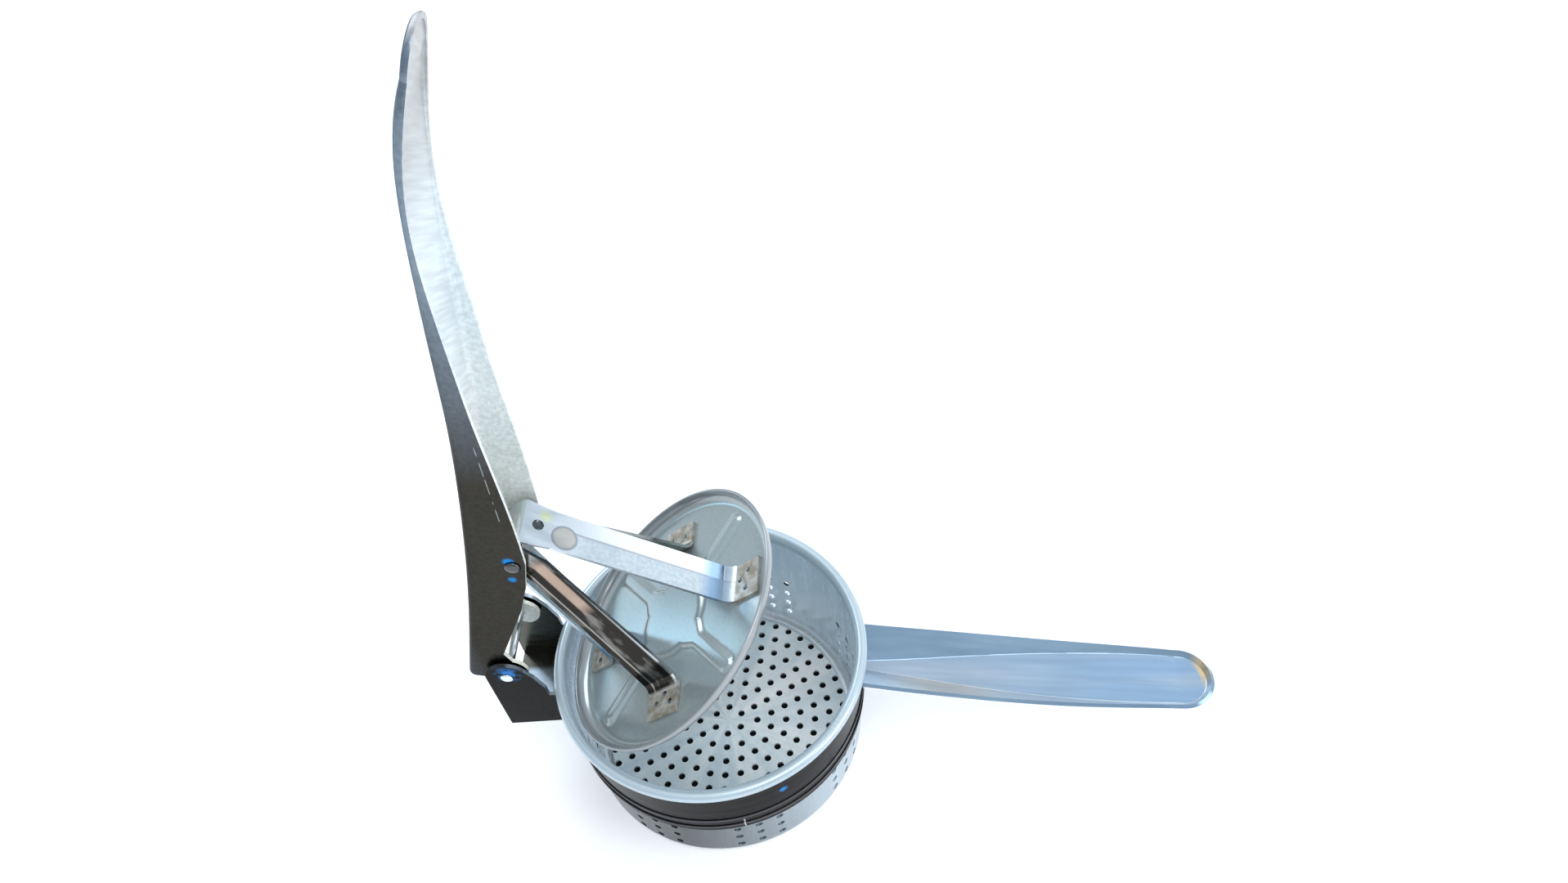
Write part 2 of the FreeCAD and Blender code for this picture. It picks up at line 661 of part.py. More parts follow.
def bent_strip(path, along, across, width):
    """Bend a strip so that its upper face follows (place, up, outer bend radius) points."""
    wall = size("strap_sheet")
    line = [(place, up) for place, up, bend in path]
    upper = []
    lower = []
    for k, ((place, up, bend), shifted) in enumerate(zip(path, offset_path(line, wall))):
        upper_bend = bend
        if bend > 0:
            before = Vector(place - line[k - 1][0], up - line[k - 1][1], 0)
            after = Vector(line[k + 1][0] - place, line[k + 1][1] - up, 0)
            turns_left = before.cross(after).z > 0
            upper_bend = bend - wall if turns_left else bend
        lower_bend = 2 * bend - wall - upper_bend if bend > 0 else 0
        upper.append((place, up, upper_bend))
        lower.append((*shifted, lower_bend))
    face = Part.Face(rounded_outline(upper + lower[::-1], along))
    return face.translated(across * (-width / 2)).extrude(across * width)


def front_view(half_widths, along, across):
    """A prism whose half width at each height is given from the bottom up."""
    span = 4 * size("cup_bore_floor")
    right = [across * half + Vector(0, 0, up) for half, up in half_widths]
    left = [across * -half + Vector(0, 0, up) for half, up in half_widths[::-1]]
    face = Part.Face(Part.makePolygon(right + left + right[:1]))
    return face.translated(along * (-span / 2)).extrude(along * span)


def mirrored(side):
    """Complete a path drawn from its left end to the middle."""
    return side + [(-place, up, bend) for place, up, bend in side[::-1]]


def pivot_bore(name):
    """The running hole for the pivot pin, square to the long strap."""
    base = {"y": "-Sizes.cup_bore_floor", "z": "Sizes.plunger_drop"}
    return cylinder(name, "Sizes.pivot_pin_size / 2 + Sizes.running_gap",
                    "2 * Sizes.cup_bore_floor", base, ACROSS)


def foot_top():
    return size("seat_gap") + size("strap_sheet")


def cross_strap_top():
    pin = size("pivot_pin_size") / 2
    return size("plunger_drop") + pin + size("strap_top_room") + size("strap_sheet")


def make_cross_strap():
    """The strap across the lever, whose upright cheeks hang from the pivot pin."""
    top = cross_strap_top()
    cheek = size("lever_half") - size("arm_sheet") - size("cheek_room")
    path = mirrored([
        (-size("cross_toe"), foot_top(), 0),
        (-size("cross_heel"), foot_top(), size("foot_bend")),
        (-cheek, size("plunger_drop") - size("cross_cheek"), size("strap_bend")),
        (-cheek, top, size("strap_bend")),
    ])
    ahead = Vector(1, 0, 0)
    strip = bent_strip(path, ACROSS, ahead, 2 * size("strap_width"))
    leg_half = size("strap_width") / 2
    widths = ((leg_half, -1), (leg_half, size("foot_bend")),
              (size("cross_top_width") / 2, top - size("cross_cheek")),
              (size("cross_top_width") / 2, top + 1))
    blank = feature("cross_strap_blank", strip.common(front_view(widths, ACROSS, ahead)).Solids[0])
    bored = cut("cross_strap", blank, pivot_bore("cross_strap_bore"))
    return keep(seat_plunger_part(bored), "cross_strap")


def make_long_strap():
    """The strap along the lever, bent over the cross strap, with a hole in its front leg."""
    ahead = Vector(1, 0, 0)
    top = cross_strap_top() + size("seat_gap") + size("strap_sheet")
    shoulder = Vector(size("long_half"), 0, top)
    heel = Vector(size("long_heel"), 0, foot_top())
    path = mirrored([
        (-size("long_toe"), foot_top(), 0),
        (-heel.x, heel.z, size("foot_bend")),
        (-shoulder.x, shoulder.z, size("strap_bend")),
    ])
    strip = bent_strip(path, ahead, ACROSS, 2 * size("strap_width"))
    leg_half = size("strap_width") / 2
    widths = ((leg_half, -1), (leg_half, top - size("long_flare")),
              (size("long_top_width") / 2, top), (size("long_top_width") / 2, top + 1))
    blank = feature("long_strap_blank", strip.common(front_view(widths, ahead, ACROSS)).Solids[0])
    down_leg = (heel - shoulder).normalize()
    square = Vector(-down_leg.z, 0, down_leg.x)
    middle = shoulder + down_leg * size("strap_hole_drop")
    hole = Part.makeCylinder(size("strap_hole_size") / 2, 6 * size("strap_sheet"),
                             middle - square * (3 * size("strap_sheet")), square)
    bored = cut("long_strap", blank, feature("long_strap_hole", hole))
    return keep(seat_plunger_part(bored), "long_strap")


# Build every sub-part, check it and write its file
make_press_cup()
make_ring_band()
make_lower_handle()
make_hinge_bracket()
make_headed_pin("hinge_pin", "Sizes.hinge_pin_size", "Sizes.hinge_head_size", "Sizes.hinge_head_thick",
                f"({EAR_SPAN} + 2 * Sizes.seat_gap)", HINGE_BACK, HINGE_HEIGHT)
make_hinge_washer()
make_press_lever()
make_headed_pin("pivot_pin", "Sizes.pivot_pin_size", "Sizes.pivot_head_size", "Sizes.pivot_head_thick",
                "(2 * Sizes.lever_half + 2 * Sizes.seat_gap)", PIVOT_BACK, PIVOT_HEIGHT)
make_plunger_dish()
make_cross_strap()
make_long_strap()
doc.recompute()

for obj in doc.Objects:
    if "Invalid" in obj.State or "Error" in obj.State:
        raise RuntimeError(f"{obj.Label} did not recompute: {obj.State}")

os.makedirs("parts", exist_ok=True)
for obj in KEPT:
    shape = obj.Shape
    if shape.isNull() or not shape.isValid():
        raise RuntimeError(f"{obj.Label} has no sound shape")
    if len(shape.Solids) != 1:
        raise RuntimeError(f"{obj.Label} has {len(shape.Solids)} solids")
    shape.exportStep(f"parts/{obj.Label}.step")
    low = shape.BoundBox
    print(f"{obj.Label}: {low.XMin:.1f} {low.XMax:.1f}  {low.YMin:.1f} {low.YMax:.1f}  "
          f"{low.ZMin:.1f} {low.ZMax:.1f}  volume {shape.Volume:.0f}")
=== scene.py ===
import math
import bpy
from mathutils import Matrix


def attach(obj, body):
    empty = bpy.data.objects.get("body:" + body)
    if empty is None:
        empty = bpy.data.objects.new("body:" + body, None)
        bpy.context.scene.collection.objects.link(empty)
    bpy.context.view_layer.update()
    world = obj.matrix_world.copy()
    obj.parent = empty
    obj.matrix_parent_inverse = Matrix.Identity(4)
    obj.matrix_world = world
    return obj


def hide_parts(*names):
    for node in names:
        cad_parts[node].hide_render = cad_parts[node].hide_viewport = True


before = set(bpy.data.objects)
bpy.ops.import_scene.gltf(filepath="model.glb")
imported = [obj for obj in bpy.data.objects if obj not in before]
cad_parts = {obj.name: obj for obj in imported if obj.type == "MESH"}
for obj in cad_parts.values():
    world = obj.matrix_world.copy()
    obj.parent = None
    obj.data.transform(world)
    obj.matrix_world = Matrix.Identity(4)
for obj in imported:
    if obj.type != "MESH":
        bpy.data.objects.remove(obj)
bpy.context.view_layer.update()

from types import SimpleNamespace

import bmesh
import bpy
from mathutils import Matrix, Vector

# Lever press for dough and boiled potato, in metres: the origin is under the cup, +X runs along the
# lower handle and +Z is up
MM = 0.001

# Sizes that this scene shares with the solids, in millimetres; LEAN is the plunger's tilt at rest
HINGE = Vector((-60.4, 0, 58.3))
PIVOT = Vector((-43.7, 0, 114.5))
LEAN = math.radians(38)
DROP = 57.7
BAND_RADIUS = 47.35
EAR_FACE = 13.3
FLANK_FACE = 11.0
RIM_HEIGHT = 49.0

# The plunger's own frame: its origin is the middle of the plate's upper face
ALONG = Vector((math.cos(LEAN), 0, math.sin(LEAN)))
UPWARD = Vector((-math.sin(LEAN), 0, math.cos(LEAN)))
PLATE = PIVOT - UPWARD * DROP


def on_plunger(x, y, z):
    """A place in metres from millimetres in the plunger's own frame."""
    return (PLATE + ALONG * x + Vector((0, y, 0)) + UPWARD * z) * MM


# Node helpers
def add(tree, kind, **settings):
    made = tree.nodes.new("ShaderNode" + kind)
    for name, value in settings.items():
        setattr(made, name, value)
    return made


def feed(tree, socket, value):
    """Link a socket to another socket, or set it to a constant."""
    if isinstance(value, bpy.types.NodeSocket):
        tree.links.new(value, socket)
    else:
        socket.default_value = value


def sums(tree, operation, first, second=0.0):
    made = add(tree, "Math", operation=operation)
    feed(tree, made.inputs[0], first)
    feed(tree, made.inputs[1], second)
    return made.outputs[0]


def product(tree, first, *others):
    for other in others:
        first = sums(tree, "MULTIPLY", first, other)
    return first


def spread(tree, value, low, high, to_low=0.0, to_high=1.0):
    """Map a range onto another, held at both ends."""
    made = add(tree, "MapRange", clamp=True)
    for socket, number in zip(made.inputs, (value, low, high, to_low, to_high)):
        feed(tree, socket, number)
    return made.outputs[0]


def rise(tree, place, low, high):
    """From nothing up to one between two places in millimetres."""
    return spread(tree, place, low * MM, high * MM)


def fall(tree, place, low, high):
    """From one down to nothing between two places in millimetres."""
    return spread(tree, place, low * MM, high * MM, 1, 0)


def between(tree, place, low, high, soft):
    """One inside a range in millimetres, falling to nothing over a soft margin outside it."""
    start = low * MM
    end = high * MM
    margin = soft * MM
    return product(tree, spread(tree, place, start - margin, start),
                   spread(tree, place, end, end + margin, 1, 0))


def mix_colour(tree, share, first, second):
    made = add(tree, "Mix", data_type="RGBA")
    feed(tree, made.inputs["Factor"], share)
    for socket, colour in ((made.inputs[6], first), (made.inputs[7], second)):
        feed(tree, socket, colour if isinstance(colour, bpy.types.NodeSocket) else (*colour, 1))
    return made.outputs[2]


def mix_value(tree, share, first, second):
    made = add(tree, "Mix", data_type="FLOAT")
    feed(tree, made.inputs["Factor"], share)
    feed(tree, made.inputs[2], first)
    feed(tree, made.inputs[3], second)
    return made.outputs[0]


def split(tree, vector):
    made = add(tree, "SeparateXYZ")
    tree.links.new(vector, made.inputs[0])
    return made.outputs


def joined(tree, x, y, z=0.0):
    made = add(tree, "CombineXYZ")
    for socket, value in zip(made.inputs, (x, y, z)):
        feed(tree, socket, value)
    return made.outputs[0]


def vector_sum(tree, operation, first, second=None):
    made = add(tree, "VectorMath", operation=operation)
    feed(tree, made.inputs[0], first)
    if second is not None:
        feed(tree, made.inputs[1], second)
    return made.outputs["Value" if operation in ("LENGTH", "DISTANCE", "DOT_PRODUCT") else "Vector"]


def distance_to(tree, spot, centre):
    """Distance in metres from a place given in millimetres."""
    return vector_sum(tree, "DISTANCE", spot, Vector(centre) * MM)


def near(tree, spot, centre, radius, soft=0.3):
    """One within a radius of a place, in millimetres."""
    return fall(tree, distance_to(tree, spot, centre), radius - soft, radius + soft)


def noise(tree, coordinate, scale, detail=2.0, grain=(1, 1, 1), turn=(0, 0, 0)):
    """Noise in a turned frame, finest along the axis whose grain is largest."""
    mapping = add(tree, "Mapping", vector_type="TEXTURE")
    mapping.inputs["Rotation"].default_value = turn
    mapping.inputs["Scale"].default_value = [1 / step for step in grain]
    tree.links.new(coordinate, mapping.inputs["Vector"])
    made = add(tree, "TexNoise")
    made.inputs["Scale"].default_value = scale
    made.inputs["Detail"].default_value = detail
    tree.links.new(mapping.outputs[0], made.inputs["Vector"])
    return made.outputs["Fac"]


# Steel: brushed grain, faint clouds and fine scratches under a colour that each sheet adds
GRAIN_SCALE = 60
CLOUD_SCALE = 35
SPECKLE_SCALE = 900
SCRATCH_SCALE = 220
SCRATCH_GRAIN = (1, 0.06, 0.3)
SCRATCH_TURN = (0.4, 0.2, 0.9)
GRAIN_DEPTH = 0.00005


def start_steel(name, grain, turn=(0, 0, 0)):
    material = bpy.data.materials.new(name)
    material.use_nodes = True
    tree = material.node_tree
    shader = tree.nodes["Principled BSDF"]
    place = add(tree, "TexCoord")
    spot = place.outputs["Object"]
    x, y, z = split(tree, spot)
    flat = joined(tree, x, y)
    return SimpleNamespace(
        material=material, tree=tree, shader=shader, spot=spot, x=x, y=y, z=z,
        radius=vector_sum(tree, "LENGTH", flat), around=vector_sum(tree, "NORMALIZE", flat),
        normal=place.outputs["Normal"], facing=split(tree, place.outputs["Normal"]),
        lines=noise(tree, spot, GRAIN_SCALE, 3.0, grain, turn),
        cloud=noise(tree, spot, CLOUD_SCALE, 3.0),
        speckle=noise(tree, spot, SPECKLE_SCALE, 2.0),
        scratch=noise(tree, spot, SCRATCH_SCALE, 1.0, SCRATCH_GRAIN, SCRATCH_TURN))


def finish_steel(steel, colour, roughness, metal=1.0, contrast=0.10, clouds=0.06, bump=0.08, worn=1.0,
                 tint=1.0, spun=0.0):
    """Shade the colour with the grain, and give the grain its roughness and bump.

    tint is how bright the steel is at a grazing angle, and spun how far highlights stretch round Z.
    """
    tree = steel.tree
    feed(tree, steel.shader.inputs["Metallic"], metal)
    steel.shader.inputs["Specular Tint"].default_value = (tint, tint, tint, 1)
    shade = sums(tree, "ADD", spread(tree, steel.lines, 0.3, 0.7, 1 - contrast, 1 + contrast),
                 spread(tree, steel.cloud, 0.3, 0.7, -clouds, clouds))
    shaded = add(tree, "Mix", data_type="RGBA", blend_type="MULTIPLY")
    shaded.inputs["Factor"].default_value = 1.0
    feed(tree, shaded.inputs[6], colour)
    feed(tree, shaded.inputs[7], shade)
    tree.links.new(shaded.outputs[2], steel.shader.inputs["Base Color"])
    wear = sums(tree, "ADD", spread(tree, steel.lines, 0.3, 0.7, -0.04 * worn, 0.06 * worn),
                spread(tree, steel.scratch, 0.66, 0.74, 0.0, 0.10 * worn))
    tree.links.new(sums(tree, "ADD", roughness, wear), steel.shader.inputs["Roughness"])
    bumps = add(tree, "Bump")
    bumps.inputs["Strength"].default_value = bump
    bumps.inputs["Distance"].default_value = GRAIN_DEPTH
    tree.links.new(steel.lines, bumps.inputs["Height"])
    tree.links.new(bumps.outputs[0], steel.shader.inputs["Normal"])
    if spun:
        tangent = add(tree, "Tangent", direction_type="RADIAL", axis="Z")
        tree.links.new(tangent.outputs[0], steel.shader.inputs["Tangent"])
        steel.shader.inputs["Anisotropic"].default_value = spun
    return steel.material


# Places of the small marks and painted reflections, in millimetres, and their colours
BAND_SEAM = (10.8, -46.1, 25.6)
BAND_BLUE_REFLECTION_SPOT = (23.5, -41.2, 38.4)
BAND_BLUE = (0.02, 0.30, 0.80)
HANDLE_WARM_REFLECTION = (73, -7, 36)
HANDLE_TIP = (148.5, 0, 0)
HANDLE_TAN = (0.78, 0.60, 0.36)
EAR_BLUE_REFLECTION = (-59.8, -EAR_FACE, 60.2)
EAR_BLUE = (0.02, 0.17, 0.46)
FLANK_BLUE_REFLECTIONS = (((PIVOT.x - 0.4, -FLANK_FACE, PIVOT.z + 2.6), 1.4),
                 ((PIVOT.x - 1.6, -FLANK_FACE, 108.6), 0.9))
FLANK_BLUE = (0.02, 0.24, 0.62)

# A scored line on the lever's near flank: its direction across it in X and Z, and a place on it
SCORE_ACROSS = (0.9976, -0.069)
SCORE_PLACE = (-39.6, 160.9)
SCORE_HALF = 0.04
SCORE_SOFT = 0.12

# Marks on the long strap, in the plunger's own frame
STRAP_SPOT = (9.9, -1.6, 49.6)
STRAP_TINT = (7.9, 3.4, 55.4)

# The lever's brushing runs on a slant
BRUSH_TURN = (math.radians(53), math.radians(12), 0)


def cup_steel():
    """Spun sheet: a painted fan of light on the floor, upright grain on the side with painted light and
    shade, painted shade in the corner and a bright rim.
    """
    steel = start_steel("cup_sheet", (5, 5, 0.5))
    tree = steel.tree
    # Painted highlight: the floor's colour changes by angle round the axis as a fan of light
    fan = noise(tree, steel.around, 2.6, 3.0)
    rings = noise(tree, joined(tree, steel.radius, 0.0), 1400, 1.0)
    plain = product(tree, fall(tree, steel.radius, 40.8, 41.8), fall(tree, steel.z, 1.4, 2.2))
    floor = mix_colour(tree, spread(tree, fan, 0.35, 0.65), (0.64, 0.73, 0.76), (0.96, 0.95, 0.91))
    floor = mix_colour(tree, spread(tree, rings, 0.3, 0.7, 0.0, 0.2), floor, (0.55, 0.60, 0.62))
    facing_out = vector_sum(tree, "DOT_PRODUCT", steel.normal, steel.around)
    inside = spread(tree, facing_out, -0.5, -0.1, 1, 0)
    # Painted light and shade: the inside wall is painted lighter low down and darker towards the rim
    upper = rise(tree, steel.z, 6, 46)
    side_in = mix_colour(tree, upper, (0.86, 0.94, 0.98), (0.66, 0.79, 0.90))
    # Painted shade: the outside is painted dark on the front left and bright from the front right round
    # to the back. The angle wraps round behind the bracket, so the outside steps from light to dark there
    turn = sums(tree, "ARCTAN2", steel.y, steel.x)
    lit = spread(tree, turn, math.radians(-100), math.radians(-35))
    side_out = mix_colour(tree, lit, (0.05, 0.06, 0.065), (0.46, 0.54, 0.60))
    colour = mix_colour(tree, inside, side_out, side_in)
    # Painted shade in the corner between the floor and the wall
    corner = product(tree, between(tree, steel.radius, 41.8, 44.9, 0.3), fall(tree, steel.z, 4.0, 5.5),
                     rise(tree, steel.z, 0, 1))
    colour = mix_colour(tree, corner, colour, (0.62, 0.65, 0.67))
    colour = mix_colour(tree, plain, colour, floor)
    rim = rise(tree, steel.z, 46.2, 47.2)
    colour = mix_colour(tree, rim, colour, (0.50, 0.60, 0.66))
    smooth = sums(tree, "MAXIMUM", rim, product(tree, plain, 0.6))
    steel.lines = mix_value(tree, smooth, steel.lines, 0.5)
    pale = sums(tree, "MAXIMUM", inside, sums(tree, "MAXIMUM", rim, plain))
    metal = spread(tree, pale, 0.0, 1.0, 1.0, 0.40)
    roughness = mix_value(tree, plain, 0.26, 0.40)
    return finish_steel(steel, colour, roughness, metal, contrast=0.09, bump=0.05, worn=0.5, spun=0.4)


def band_steel():
    """Polished band painted dark as a dark reflection, with painted highlight streaks, painted highlights
    on the bead crests, a short seam and a small painted blue reflection.
    """
    steel = start_steel("band_sheet", (0.4, 0.4, 18))
    tree = steel.tree
    # Painted dark reflection, with lighter streaks painted as highlights
    streak = noise(tree, steel.spot, 60, 4.0, (0.2, 0.2, 9))
    dark = (0.008, 0.007, 0.007)
    colour = mix_colour(tree, spread(tree, streak, 0.45, 0.75), dark, (0.035, 0.035, 0.040))
    # Painted highlight on the crests of the beads
    painted_crest_highlight = rise(tree, steel.radius, BAND_RADIUS + 0.1, BAND_RADIUS + 0.4)
    colour = mix_colour(tree, painted_crest_highlight, colour, (0.13, 0.13, 0.14))
    seam = product(tree, near(tree, steel.spot, BAND_SEAM, 2.6),
                   between(tree, steel.x, 10.65, 10.95, 0.15))
    colour = mix_colour(tree, seam, colour, (0.50, 0.50, 0.52))
    # Painted blue reflection
    colour = mix_colour(tree, near(tree, steel.spot, BAND_BLUE_REFLECTION_SPOT, 1.1, 0.6), colour, BAND_BLUE)
    return finish_steel(steel, colour, 0.18, contrast=0.22, clouds=0.10, bump=0.05, tint=0.7)


def handle_steel():
    """Trough painted blue-grey as a sky reflection, bluer towards the tip: painted shade on the far
    slope, painted light on the near slope, a painted warm reflection, plain grey faces that turn down and
    a tan band at the tip.
    """
    steel = start_steel("handle_sheet", (0.5, 9, 3))
    tree = steel.tree
    # Painted light: upward faces carry a painted blue sky reflection, bluer towards the tip, with painted
    # shade on the far slope and painted light on the near slope
    upward = spread(tree, steel.facing[2], 0.05, 0.25)
    share = rise(tree, steel.x, 48, 148)
    slope = product(tree, spread(tree, steel.facing[1], -0.30, -0.12, 1, 0), upward)
    long_streak = noise(tree, steel.spot, 28, 2.0, (0.25, 3, 2))
    floor = mix_colour(tree, share, (0.34, 0.43, 0.52), (0.30, 0.45, 0.62))
    floor = mix_colour(tree, spread(tree, long_streak, 0.42, 0.68), floor, (0.50, 0.58, 0.66))
    # Painted warm reflection on the near slope
    warm = product(tree, near(tree, steel.spot, HANDLE_WARM_REFLECTION, 14, 7),
                   spread(tree, steel.facing[1], 0.05, 0.3))
    near_slope = spread(tree, steel.facing[1], 0.12, 0.30)
    floor = mix_colour(tree, near_slope, floor, (0.74, 0.80, 0.85))
    floor = mix_colour(tree, warm, floor, (0.86, 0.80, 0.72))
    far_share = spread(tree, long_streak, 0.35, 0.6)
    far = mix_colour(tree, far_share, (0.22, 0.32, 0.43), (0.32, 0.45, 0.56))
    colour = mix_colour(tree, slope, floor, far)
    colour = mix_colour(tree, upward, (0.34, 0.35, 0.37), colour)
    tip = distance_to(tree, joined(tree, steel.x, steel.y), HANDLE_TIP)
    tan = product(tree, between(tree, tip, 7.2, 9.6, 0.5), rise(tree, steel.x, 153, 156),
                  rise(tree, steel.y, -3, 2), upward)
    colour = mix_colour(tree, tan, colour, HANDLE_TAN)
    return finish_steel(steel, colour, 0.22, 0.75, contrast=0.06, clouds=0.04, bump=0.05, worn=0.4)


def bracket_steel():
    """Near ear painted nearly black as a dark reflection, far ear painted grey-brown, sheet edges painted
    light as highlights, a painted sky reflection and shade on the bottom web, and painted blue
    reflections at the pin.
    """
    steel = start_steel("bracket_sheet", (2, 2, 9))
    tree = steel.tree
    # Painted reflection and highlight: the near ear is painted nearly black, the far ear grey-brown and
    # the sheet edges light
    upright = sums(tree, "ABSOLUTE", steel.facing[1])
    far = rise(tree, steel.y, 0, 4)
    colour = mix_colour(tree, far, (0.004, 0.004, 0.003), (0.12, 0.12, 0.10))
    colour = mix_colour(tree, spread(tree, upright, 0.3, 0.7, 1, 0), colour, (0.45, 0.50, 0.55))
    # Painted sky reflection and shade: the bottom web is bluish near the front and dark further back
    tray = product(tree, fall(tree, steel.z, 33, 34), spread(tree, steel.facing[2], 0.3, 0.6))
    dim = rise(tree, steel.y, 4.5, 6.5)
    shaded = mix_colour(tree, dim, (0.26, 0.31, 0.36), (0.07, 0.07, 0.058))
    colour = mix_colour(tree, tray, colour, shaded)
    # Painted blue reflection at the pin
    patchy = spread(tree, noise(tree, steel.spot, 500, 2.0), 0.40, 0.55)
    blue_reflection = near(tree, steel.spot, EAR_BLUE_REFLECTION, 3.2, 1.6)
    colour = mix_colour(tree, product(tree, blue_reflection, patchy), colour, EAR_BLUE)
    return finish_steel(steel, colour, 0.26, contrast=0.12, bump=0.05, tint=0.75)


def lever_steel():
    """Slanted brushing inside, painted lighter deep in the channel and darker towards the grip, a flank
    painted as a dark reflection that turns blue-grey at the grip, painted blue reflections near the
    pivot, and light edges.
    """
    steel = start_steel("lever_sheet", (15, 15, 0.9), BRUSH_TURN)
    tree = steel.tree
    # Painted light: the inside is painted lighter deep in the channel, where it lies in shade, and darker
    # towards the grip; the far flange is painted lighter too
    tone = rise(tree, steel.z, 105, 150)
    inner = mix_colour(tree, tone, (0.98, 0.97, 0.86), (0.82, 0.84, 0.83))
    inner = mix_colour(tree, rise(tree, steel.z, 160, 190), inner, (0.66, 0.72, 0.75))
    inner = mix_colour(tree, rise(tree, steel.z, 222, 245), inner, (0.50, 0.51, 0.51))
    far_flange = product(tree, rise(tree, steel.y, 8.8, 9.6),
                         spread(tree, steel.facing[1], -0.97, -0.90, 1, 0))
    inner = mix_colour(tree, product(tree, far_flange, 0.8), inner, (0.78, 0.84, 0.84))
    # Painted reflection: the outer flank is painted dark, turning blue-grey at the grip and a darker
    # blue-grey at the back
    grip = rise(tree, steel.z, 150, 225)
    flank = mix_colour(tree, grip, (0.045, 0.042, 0.036), (0.20, 0.25, 0.30))
    back = rise(tree, steel.x, -66, -72)
    flank = mix_colour(tree, product(tree, back, 0.5), flank, (0.10, 0.115, 0.14))
    flanges = product(tree, sums(tree, "SIGN", steel.y), steel.facing[1])
    web = product(tree, steel.facing[0], -1.0)
    outside = spread(tree, sums(tree, "MAXIMUM", flanges, web), 0.25, 0.6)
    colour = mix_colour(tree, outside, inner, flank)
    across = vector_sum(tree, "DOT_PRODUCT", steel.spot, Vector((SCORE_ACROSS[0], 0, SCORE_ACROSS[1])))
    start = SCORE_PLACE[0] * SCORE_ACROSS[0] + SCORE_PLACE[1] * SCORE_ACROSS[1]
    line = sums(tree, "SUBTRACT", across, start * MM)
    near_face = fall(tree, steel.y, -10.6, -10.3)
    dashes = spread(tree, noise(tree, steel.spot, 90, 1.0, (1, 1, 2)), 0.42, 0.46)
    scored = product(tree, between(tree, line, -SCORE_HALF, SCORE_HALF, SCORE_SOFT), near_face, dashes,
                     between(tree, steel.z, 134, 164, 1))
    colour = mix_colour(tree, scored, colour, (0.34, 0.36, 0.37))
    # Painted blue reflections near the pivot
    for place, radius in FLANK_BLUE_REFLECTIONS:
        colour = mix_colour(tree, near(tree, steel.spot, place, radius, 0.6), colour, FLANK_BLUE)
    roughness = mix_value(tree, outside, 0.42, 0.27)
    metal = mix_value(tree, outside, 0.25, 1.0)
    return finish_steel(steel, colour, roughness, metal, contrast=0.14, bump=0.14, tint=0.5)


def plate_steel():
    """Satin grey plate with painted shade on its rounded corner."""
    steel = start_steel("dish_sheet", (3, 3, 3))
    tree = steel.tree
    reach = distance_to(tree, steel.spot, PLATE)
    mottle = spread(tree, steel.speckle, 0.35, 0.65)
    colour = mix_colour(tree, mottle, (0.36, 0.43, 0.44), (0.40, 0.46, 0.47))
    # Painted shade on the rounded corner
    colour = mix_colour(tree, rise(tree, reach, 38.6, 41.5), colour, (0.34, 0.36, 0.37))
    return finish_steel(steel, colour, 0.20, 0.55, contrast=0.01, clouds=0.02, bump=0.0, worn=0.2)


def strap_tones(name, grain):
    """Start a strap's steel with coordinates in the plunger's own frame."""
    steel = start_steel(name, grain, (0, -LEAN, 0))
    mapping = add(steel.tree, "Mapping", vector_type="TEXTURE")
    mapping.inputs["Location"].default_value = PLATE * MM
    mapping.inputs["Rotation"].default_value = (0, -LEAN, 0)
    steel.tree.links.new(steel.spot, mapping.inputs["Vector"])
    steel.own = mapping.outputs[0]
    steel.ahead, steel.side, steel.up = split(steel.tree, steel.own)
    return steel


def add_feet(steel, colour):
    """Heat-tinted feet, mottled tan, and how metallic the strap is there."""
    tree = steel.tree
    foot = fall(tree, steel.up, 1.15, 1.6)
    blotch = noise(tree, steel.spot, 420, 3.0)
    tint = mix_colour(tree, spread(tree, blotch, 0.40, 0.62), (0.34, 0.30, 0.23), (0.52, 0.52, 0.48))
    return mix_colour(tree, foot, colour, tint), mix_value(tree, foot, 1.0, 0.45)


